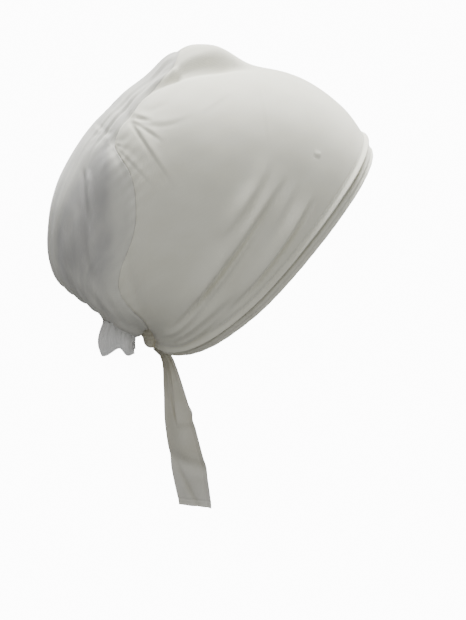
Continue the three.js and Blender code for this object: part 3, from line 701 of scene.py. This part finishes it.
def hem_rows(places, scale):
    """The face edge: the turned-in allowance and the rounded fold."""
    inner = 2 * HEM_RADIUS
    rows = [on_cloth((EDGE_INSET + distance) / scale, places, inner) for distance in HEM_RETURN]
    for degrees in HEM_TURN:
        turn = math.radians(degrees)
        u = (EDGE_INSET + HEM_RADIUS * (1 - math.cos(turn))) / scale
        depth = HEM_RADIUS * (1 + math.sin(turn)) - hem_relief(u, places, scale)
        rows.append(on_cloth(u, places, depth))
    return np.stack(rows)


def seam_tuck(places, way):
    """The rows that dip in past the seam's line: way is 1 for the panel and -1 for the pouch."""
    line = seam_at(places) - way * SEAM_CLEAR
    return np.stack([on_cloth(line + way * past, places, depth) for past, depth in SEAM_TUCK])


def seam_shade(u, s):
    """Darker where the cloth dips into the seam."""
    return SEAM_SHADE["most"] * seam_clearness(s) * bell(u, seam_at(s), SEAM_SHADE["reach"])


def front_panel():
    places = round_places(PANEL_GRID[0], CLOTH_UNTIL)
    _, _, _, scale = form_frame(0, places)
    first = (EDGE_INSET + HEM_FLAT_FROM * HEM_RADIUS) / scale
    u, s = cloth_between(first, seam_at(places) - SEAM_CLEAR, places, PANEL_GRID[1])
    hem = hem_rows(places, scale)
    points = np.concatenate([hem, on_cloth(u, s, -hem_relief(u, s, scale)), seam_tuck(places, 1)])
    cloth = slice(len(hem), len(hem) + len(u))
    # Painted shade along the seam, and in full on the rows that dip into it.
    hollow = np.zeros(points.shape[:2])
    hollow[cloth] = seam_shade(u, s)
    hollow[cloth.stop:] = 1
    return grid_piece("panel_cloth", points, IVORY, INSIDE_HEAD, hollow=hollow)


def unbacked_shade(u, s, z):
    """Painted shade on the pouch, from 0 where it lies on the head to 1 where nothing is behind its thin
    cloth.
    """
    around = np.abs(s)
    lower = smooth_step(UNBACKED_SHADE["farther_from"], UNBACKED_SHADE["farther_full"], around)
    away = smooth_step(0, 1, (u - seam_at(s)) / (UNBACKED_SHADE["near"] + UNBACKED_SHADE["farther"] * lower))
    on_side = smooth_step(UNBACKED_SHADE["side_from"], UNBACKED_SHADE["side_full"], around)
    up = UNBACKED_SHADE["at_nape"] + (1 - UNBACKED_SHADE["at_nape"]) * smooth_step(UNBACKED_SHADE["nape_z"], UNBACKED_SHADE["full_z"], z)
    return UNBACKED_SHADE["on_crown"] * (1 - on_side) + on_side * away * up


def back_pouch():
    places = round_places(POUCH_GRID[0], CLOTH_UNTIL)
    u, s = cloth_between(seam_at(places) + SEAM_CLEAR, NAPE, places, POUCH_GRID[1])
    s = trimmed(u, s)
    tuck = seam_tuck(places, -1)[::-1]
    turn_in = np.stack([on_cloth(NAPE, trimmed(NAPE, places), depth) for depth in NAPE_TURN])
    points = np.concatenate([tuck, on_cloth(u, s), turn_in])
    cloth = slice(len(tuck), len(tuck) + len(u))
    # Painted shade along the seam and the nape line and where nothing is behind the pouch, and in full
    # on the rows that dip into the seam and turn in at the nape.
    seam_and_nape_shade = np.maximum(seam_shade(u, s), bell(u, NAPE, NAPE_SHADE_REACH))
    hollow = np.ones(points.shape[:2])
    hollow[cloth] = np.maximum(seam_and_nape_shade, unbacked_shade(u, s, points[cloth, :, 2]))
    return grid_piece("pouch_cloth", points, IVORY_POUCH_PAINTED_SHADE, INSIDE_POUCH, hollow=hollow)


# ---- face band ----

BAND = {"width": 8, "width_at_nape": 4, "narrows_from": 0.6, "until": 0.995}
# Round the section: share of the band's width, plus ahead in millimetres, and depth.
BAND_PROFILE = column_table(("share", "ahead", "depth"), (
    (0, -4.0, 3.0), (0, -1.5, 2.9), (0, 0.4, 2.8), (0, 0.9, 2.2), (0, 1.6, 1.45), (0.3, 1.2, 1.0),
    (0.5, 0.6, 1.8), (0.7, 0, 1.9), (1, -1.2, 1.15), (1, -0.4, 1.4), (1, 0, 2.1), (1, -0.4, 2.9),
    (1, -1.4, 3.1), (0.5, 0, 3.2), (0, 0.4, 3.6), (0, -2, 4.1), (0, -4.0, 4.1),
))
BAND_SMOOTH = 4  # points made between two rows of the profile
BAND_PUCKERS = ((0.07, 3.1, 0), (0.1, 11.7, 1))  # height and length in millimetres, and start
BAND_FACE = {"depth": 1.5, "reach": 0.8}  # the depth where the puckers show
BAND_SHADE = {"most": 0.6, "ahead": 0.9, "fade": 2.0, "depth": 2.4, "reach": 0.9}


def band_section(width):
    """Offsets ahead of the hem and below the panel's face, round the whole section."""
    last = len(BAND_PROFILE["share"]) - 1
    knots = np.arange(last + 1, dtype=float)
    fine = np.linspace(0, last, last * BAND_SMOOTH + 1)
    share, ahead, depth = (through(fine, knots, column)[:, None] for column in BAND_PROFILE.values())
    return ahead + share * width, depth


def band_width(s):
    narrowed = smooth_step(BAND["narrows_from"], 1, np.abs(s))
    return BAND["width"] + (BAND["width_at_nape"] - BAND["width"]) * narrowed


def face_band():
    places = round_places(BAND_STEPS, BAND["until"])
    along_u, out, _, _ = form_frame(0, places)
    edge = on_cloth(0, places)
    ahead, depth = band_section(band_width(places)[None, :])
    turns = 2 * np.pi * arc_lengths(edge[None], 1)
    pucker = sum(height * np.sin(turns / length + start) for height, length, start in BAND_PUCKERS)
    depth = depth + pucker * bell(depth, BAND_FACE["depth"], BAND_FACE["reach"])
    points = edge[None] - along_u[None] * ahead[..., None] - out[None] * depth[..., None]
    # Painted shade in the gap where the band runs in under the panel's edge.
    shade_under_panel = np.clip(BAND_SHADE["most"] - np.abs(ahead - BAND_SHADE["ahead"]) / BAND_SHADE["fade"], 0, 1)
    hollow = shade_under_panel * bell(depth, BAND_SHADE["depth"], BAND_SHADE["reach"])
    return grid_piece(
        "band_cloth", points[:-1], IVORY_BAND, INSIDE_HEAD, closed=True, hollow=hollow[:-1]
    )


STITCH = {
    "length": 2.3, "gap": 0.7, "radius": 0.17, "sides": 6, "rings": 5, "lift": 1.6, "sunk": 0.9,
    "behind": 6.5, "until": 0.97,
}


def stitch_row(name, route, outward):
    """Short stitches along a route of points, each a thread that dips in at both ends."""
    length = arc_lengths(route[None], 1)[0]
    pitch = STITCH["length"] + STITCH["gap"]
    rings, sides, radius = STITCH["rings"], STITCH["sides"], STITCH["radius"]
    t = np.linspace(0, 1, rings)
    lift = radius * (STITCH["lift"] * np.sin(np.pi * t) - STITCH["sunk"])
    vertices, faces = [], []
    for k in range(int(length[-1] / pitch)):
        at = k * pitch + t * STITCH["length"]
        centre = np.stack([np.interp(at, length, route[:, c]) for c in range(3)], axis=-1)
        up = unit(np.stack([np.interp(at, length, outward[:, c]) for c in range(3)], axis=-1))
        forward = unit(np.gradient(centre, axis=0))
        side = unit(np.cross(forward, up))
        first = len(vertices)
        for i in range(rings):
            for j in range(sides):
                angle = 2 * math.pi * j / sides
                ring = up[i] * (math.cos(angle) * radius + lift[i]) + side[i] * math.sin(angle) * radius
                vertices.append(((centre[i] + ring) * MM).tolist())
        for i in range(rings - 1):
            for j in range(sides):
                a = first + i * sides + j
                b = first + i * sides + (j + 1) % sides
                faces.append((a, b, b + sides, a + sides))
    return new_object(name, vertices, faces, THREAD)


def hem_stitches():
    """A row of stitches on the panel, behind its face edge."""
    places = round_places(STITCH_STEPS, STITCH["until"])
    _, out, _, scale = form_frame(0, places)
    return stitch_row("hem_stitches", on_cloth(STITCH["behind"] / scale, places), out)


# ---- nape ruffle ----

RUFFLE = {
    "height": 23, "end_height": 14, "ends_over": 0.7, "until": 0.86, "start": -0.05, "drop": 0.8,
    "flare": 3, "depth": 2.2, "bulge": 0.78, "waves": 1.7, "first_wave": 0.02, "lift": 2.4,
    "pleats": 0.63, "pleat_fade": 4.5, "hem": 4, "hem_depth": 0.2, "hem_reach": 0.6,
    "around_x": -62, "inside_z": -190, "wall": 1.0,
}


def nape_ruffle():
    """The free frill below the nape line, which bulges out in slow waves."""
    places = round_places(RUFFLE_GRID[0], RUFFLE["until"])
    _, out, onward, _ = form_frame(NAPE, places)
    smooth = form_point(NAPE, places) + onward * RUFFLE["wall"] / 2 + out * RUFFLE["drop"]
    top = smooth + out * relief(NAPE, places)[:, None]
    side = unit(top * (1, 1, 0) - (RUFFLE["around_x"], 0, 0))
    wave = np.cos(2 * np.pi * RUFFLE["waves"] * (np.abs(places) - RUFFLE["first_wave"]))
    pleat = gather_height(NAPE_GATHERS, NAPE, NAPE, places)
    to_end = smooth_step(0, RUFFLE["ends_over"], np.abs(places))
    height = RUFFLE["height"] + (RUFFLE["end_height"] - RUFFLE["height"]) * to_end
    rows = []
    for t in np.linspace(RUFFLE["start"], 1, steps(RUFFLE_GRID[1]) + 1):
        down = max(t, 0)
        bulge = math.sin(math.pi * RUFFLE["bulge"] * down)
        swell = RUFFLE["depth"] * wave * bulge + RUFFLE["flare"] * bulge
        folds = RUFFLE["pleats"] * pleat * math.exp(-RUFFLE["pleat_fade"] * down)
        hem = RUFFLE["hem_depth"] * bell((1 - t) * height, RUFFLE["hem"], RUFFLE["hem_reach"])
        point = top + (smooth - top) * down + side * (swell + folds - hem)[:, None]
        point[:, 2] -= t * (height + RUFFLE["lift"] * wave)
        rows.append(point)
    inside = (RUFFLE["around_x"], 0, RUFFLE["inside_z"])
    return grid_piece("ruffle_cloth", np.stack(rows), IVORY_RUFFLE_PAINTED_LIGHT, inside, wall=RUFFLE["wall"])


# ---- knot and tie ends ----

KNOT = {
    "x": -53, "z": -187, "deep": 6.5, "wide_below": 9.2, "wide_above": 12.2, "tall": 10.5,
    "until": 0.995, "strands": 3, "winding": 2.2, "groove": 0.1, "narrow": 6,
}
KNOT_WRAP = {"height": 1.8, "reach": 4, "from": 0.2, "full": 0.8, "shade": 0.3}
# Creases along the strands and across the wrap: how many, how they wind and how deep they are.
STRAND_CREASES = {"count": 7, "winding": 2.5, "depth": 0.03}
WRAP_CREASES = {"count": 9, "winding": 0.8, "depth": 0.05}


def tie_knot():
    """A rounded lump of wound strands, with a wrap of cloth round its middle."""
    up = np.linspace(-KNOT["until"], KNOT["until"], steps(KNOT_GRID[1]) + 1)[:, None]
    angle = np.linspace(0, 2 * np.pi, steps(KNOT_GRID[0]), endpoint=False)[None, :]
    rounded = (1 - up ** 4) ** 0.25
    wide = KNOT["wide_below"] + (KNOT["wide_above"] - KNOT["wide_below"]) * (up + 1) / 2
    around = bell(up * KNOT["tall"], 0, KNOT_WRAP["reach"])
    wrap = KNOT_WRAP["height"] * around
    on_wrap = smooth_step(KNOT_WRAP["from"], KNOT_WRAP["full"], around)
    strands = 0.5 + 0.5 * np.cos(KNOT["strands"] * angle + KNOT["winding"] * up)
    grooves = strands ** KNOT["narrow"]
    creases = np.cos(STRAND_CREASES["count"] * angle - STRAND_CREASES["winding"] * up) ** 2
    across = np.cos(WRAP_CREASES["count"] * up + WRAP_CREASES["winding"] * np.sin(angle)) ** 2
    in_strands = KNOT["groove"] * grooves + STRAND_CREASES["depth"] * creases
    in_wrap = WRAP_CREASES["depth"] * across
    radius = rounded * (1 - (1 - on_wrap) * in_strands - on_wrap * in_wrap)
    points = np.stack([
        KNOT["x"] - np.cos(angle) * (KNOT["deep"] + wrap) * radius,
        np.sin(angle) * wide * radius,
        KNOT["z"] + up * KNOT["tall"] + 0 * angle,
    ], axis=-1).transpose(1, 0, 2)
    # Painted shade in the grooves between the strands and in the creases of the wrap.
    hollow = (grooves * (1 - on_wrap) + across * on_wrap * KNOT_WRAP["shade"]) * rounded
    inside = (KNOT["x"], 0, KNOT["z"])
    return grid_piece("knot_cloth", points, KNOT_IVORY_PAINTED_LIGHT, inside, closed=True, hollow=hollow.T)


# Rows down a tie end: the middle of the strip, its width, the way its width points (turn, in
# degrees from forward to the side) and how deep its long fold is.
TIE_COLUMNS = ("t", "x", "y", "z", "width", "turn", "fold")
RIGHT_TIE = column_table(TIE_COLUMNS, (
    (0.0, -50, -3.5, -197.6, 6, -5, 1),
    (0.06, -44, -7.5, -204, 8, -14, 2),
    (0.25, -41, -19, -223, 15, -22, 4),
    (0.5, -39, -31, -247, 22.5, -28, 4),
    (0.75, -35, -39.5, -275, 26, -30, 2),
    (1.0, -31, -45, -304, 24, -30, 1),
))
LEFT_TIE = column_table(TIE_COLUMNS, (
    (0.0, -50, 3.5, -197.6, 6, 5, 1),
    (0.06, -44, 7.5, -204, 8, 14, 2),
    (0.25, -37, 19, -221, 12, 26, 4),
    (0.5, -32, 32, -243, 17, 34, 3),
    (0.75, -26, 41, -267, 21, 38, 2),
    (1.0, -21, 47, -292, 22, 40, 1),
))
TIE = {"wall": 1.0, "length": 106, "inside": 100}
# Features of a tie end's cloth, where t runs down it and v across it, both from 0 to 1. One sets in
# between from and full and is over between ending and until; shade is how much painted shade it puts in
# the colour.
BUNCH = {"height": 0.7, "waves": 3.5, "start": 1.2, "until": 0.45, "shade": 0.3}
FLAP = {
    "height": 1.5, "edge": 0.6, "drift": 0.12, "slope": 0.05,
    "from": 0.03, "full": 0.12, "ending": 0.46, "until": 0.52,
}
TUCK = {
    "depth": 0.8, "v": 0.36, "drift": 0.1, "drift_from": 0.3, "drift_until": 0.46, "reach": 0.05,
    "from": 0.24, "full": 0.34, "ending": 0.44, "until": 0.5, "shade": 0.5,
}
BEND = {"depth": 1.6, "t": 0.7, "lean": 0.06, "reach": 0.045}
SOFT = {"height": 0.7, "down": 1.3, "across": 0.5, "start": 0.6, "from": 0.45, "full": 0.7}
SLANT = {
    "depth": 0.8, "t": 0.75, "v": 0.2, "slope": 1.5, "reach": 0.1, "from": 0.66, "full": 0.8,
    "shade": 0.5,
}
SHADE_ABOVE_BEND = {"full": 0.66, "until": 0.76, "shade": 0.6}
TIE_HEM = {"at_end": 4, "at_side": 3, "groove": 0.4, "groove_reach": 0.6, "bead": 0.6, "bead_reach": 1.2}
SIDE_HEM = {"from": 0.35, "full": 0.55}


def sets_in(table, t):
    """From 0 before a feature of a tie end to 1 once it is there in full."""
    return smooth_step(table["from"], table["full"], t)


def lasts(table, t):
    """1 while a feature of a tie end is there, and 0 before and after it."""
    return sets_in(table, t) * (1 - smooth_step(table["ending"], table["until"], t))


def sewn_edge(distance, stitched_at):
    """How deep a hem's line of stitches lies, less the bead along its edge."""
    groove = TIE_HEM["groove"] * bell(distance, stitched_at, TIE_HEM["groove_reach"])
    return groove - TIE_HEM["bead"] * bell(distance, 0, TIE_HEM["bead_reach"])


def tie_relief(t, v, fold, width):
    """How far a tie end's cloth stands out in millimetres, and how much painted shade it gets, from 0 to
    1.
    """
    bunch = 1 - smooth_step(0, BUNCH["until"], t)
    bunched = BUNCH["height"] * np.sin(2 * np.pi * BUNCH["waves"] * v + BUNCH["start"])
    flap_edge = FLAP["edge"] - FLAP["drift"] * t / FLAP["until"]
    flap = lasts(FLAP, t) * smooth_step(flap_edge - FLAP["slope"], flap_edge, v)
    drifted = smooth_step(TUCK["drift_from"], TUCK["drift_until"], t)
    tuck = bell(v, TUCK["v"] + TUCK["drift"] * drifted, TUCK["reach"]) * lasts(TUCK, t)
    bend = BEND["depth"] * bell(t, BEND["t"] + BEND["lean"] * v, BEND["reach"])
    waving = np.sin(2 * np.pi * (SOFT["down"] * t + SOFT["across"] * v) + SOFT["start"])
    soft = SOFT["height"] * waving * sets_in(SOFT, t)
    slanting = SLANT["v"] + SLANT["slope"] * (t - SLANT["t"])
    diagonal = SLANT["depth"] * bell(v, slanting, SLANT["reach"]) * sets_in(SLANT, t)
    end_hem = sewn_edge((1 - t) * TIE["length"], TIE_HEM["at_end"])
    side_hem = sewn_edge((1 - v) * width, TIE_HEM["at_side"]) * sets_in(SIDE_HEM, t)
    raised = fold * np.sin(np.pi * v) ** 2 + bunch * bunched + FLAP["height"] * flap + soft
    sunk = bend + TUCK["depth"] * tuck + diagonal + end_hem + side_hem
    # Painted shade in the slanting fold, the tuck and the bunched top, and over the part above the bend.
    shade_above_bend = 1 - smooth_step(SHADE_ABOVE_BEND["full"], SHADE_ABOVE_BEND["until"], t - BEND["lean"] * v)
    hollow = (
        SLANT["shade"] * diagonal
        + TUCK["shade"] * tuck
        + BUNCH["shade"] * bunch
        + SHADE_ABOVE_BEND["shade"] * shade_above_bend
    )
    return raised - sunk, np.clip(hollow, 0, 1)


def tie_end(name, table):
    """One hanging tie end, along the rows of its table."""
    t = np.linspace(0, 1, steps(TIE_GRID[1]) + 1)[:, None]
    v = np.linspace(0, 1, steps(TIE_GRID[0]) + 1)[None, :]
    value = {key: through(t, table["t"], table[key]) for key in TIE_COLUMNS[1:]}
    turn = np.radians(value["turn"])
    sign = np.sign(-table["turn"][-1])
    across = np.stack([np.cos(turn), np.sin(turn), 0 * turn], axis=-1)
    outward = np.stack([np.sin(turn), -np.cos(turn), 0 * turn], axis=-1) * sign
    middle = np.stack([value["x"], value["y"], value["z"]], axis=-1)
    stand, hollow = tie_relief(t, v, value["fold"], value["width"])
    points = middle + across * ((v - 0.5) * value["width"])[..., None] + outward * stand[..., None]
    inside = points.mean(axis=(0, 1)) - outward.mean(axis=(0, 1)) * TIE["inside"]
    return grid_piece(name, points, TIE_IVORY_PAINTED_SHADE, inside, hollow=hollow, wall=TIE["wall"])


# ---- the whole ----

panel = front_panel()
pouch = back_pouch()
band = face_band()
ruffle = nape_ruffle()
knot = tie_knot()
tie_right = tie_end("tie_right_cloth", RIGHT_TIE)
tie_left = tie_end("tie_left_cloth", LEFT_TIE)
stitches = hem_stitches()

REPLACED = (
    (panel, "front_panel", "jersey"),
    (pouch, "back_pouch", "jersey"),
    (band, "face_band", "jersey_band"),
    (ruffle, "nape_ruffle", "jersey"),
    (knot, "tie_knot", "jersey_tie"),
    (tie_right, "tie_end_right", "jersey_tie"),
    (tie_left, "tie_end_left", "jersey_tie"),
)
for piece, node, slot in REPLACED:
    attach(piece, "root")
    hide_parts(node)
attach(stitches, "root")

# ---- floor, light and camera ----

# The cap is held up at the height of a head, so the floor lies well below it.
FLOOR = {"below": 1.0, "half_width": 60}
FLOOR_SHADER = {
    "Base Color": (0.95, 0.95, 0.95, 1), "Roughness": 0.9,
    "Emission Color": (1, 1, 1, 1), "Emission Strength": 8.0,
}
# Name, direction that the light comes from, strength, and angle in degrees.
LIGHTS = (
    ("top_light", (0.22, 0.34, 0.91), 13.0, 34),
    ("front_fill", (0.6, -1.0, 0.1), 0.25, 60),
)
WORLD = {"colour": (0.98, 0.985, 1.0), "below": 0.17, "above": 0.95, "backdrop": 12, "fade": 0.35}
CAMERA = {
    "azimuth": -12, "elevation": 16.5, "distance": 1.0, "target": (0.006, 0, -0.174),
    "lens": 80.65, "sensor": 36,
}


def floor():
    """A pale floor that doesn't throw the top light back up at the cap."""
    low = cad_box[0][2] - FLOOR["below"]
    size = FLOOR["half_width"]
    corners = [(-size, -size, low), (size, -size, low), (size, size, low), (-size, size, low)]
    material = new_material("floor_pale", FLOOR_SHADER)
    piece = new_object("floor", corners, [(0, 1, 2, 3)], material)
    piece.visible_diffuse = False
    piece.visible_glossy = False


def sun(name, from_direction, strength, angle):
    """A distant soft light that shines from the given direction."""
    data = bpy.data.lights.new(name, "SUN")
    data.energy = strength
    data.angle = math.radians(angle)
    lamp = bpy.data.objects.new(name, data)
    lamp.rotation_euler = Vector(from_direction).to_track_quat("Z", "Y").to_euler()
    bpy.context.scene.collection.objects.link(lamp)


def world():
    """A room lit from above, which the camera sees as a pale backdrop."""
    room = bpy.data.worlds.new("studio")
    room.use_nodes = True
    nodes, links = room.node_tree.nodes, room.node_tree.links
    background = nodes["Background"]
    background.inputs["Color"].default_value = (*WORLD["colour"], 1)
    direction = add_node(nodes, "TexCoord", {}, {})
    parts = add_node(nodes, "SeparateXYZ", {}, {})
    links.new(direction.outputs["Generated"], parts.inputs["Vector"])
    height = add_node(nodes, "MapRange", {"interpolation_type": "SMOOTHSTEP"}, {
        "From Min": -WORLD["fade"], "From Max": WORLD["fade"],
        "To Min": WORLD["below"], "To Max": WORLD["above"],
    })
    links.new(parts.outputs["Z"], height.inputs["Value"])
    rays = add_node(nodes, "LightPath", {}, {})
    strength = add_node(nodes, "Mix", {}, {"B": WORLD["backdrop"]})
    links.new(rays.outputs["Is Camera Ray"], strength.inputs["Factor"])
    links.new(height.outputs["Result"], strength.inputs["A"])
    links.new(strength.outputs["Result"], background.inputs["Strength"])
    bpy.context.scene.world = room


def camera():
    azimuth = math.radians(CAMERA["azimuth"])
    elevation = math.radians(CAMERA["elevation"])
    back = Vector((
        math.sin(azimuth) * math.cos(elevation),
        -math.cos(azimuth) * math.cos(elevation),
        math.sin(elevation),
    ))
    data = bpy.data.cameras.new("camera")
    data.lens = CAMERA["lens"]
    data.sensor_width = CAMERA["sensor"]
    viewer = bpy.data.objects.new("camera", data)
    viewer.location = Vector(CAMERA["target"]) + back * CAMERA["distance"]
    viewer.rotation_euler = (-back).to_track_quat("-Z", "Y").to_euler()
    bpy.context.scene.collection.objects.link(viewer)
    bpy.context.scene.camera = viewer


floor()
world()
for light in LIGHTS:
    sun(*light)
camera()
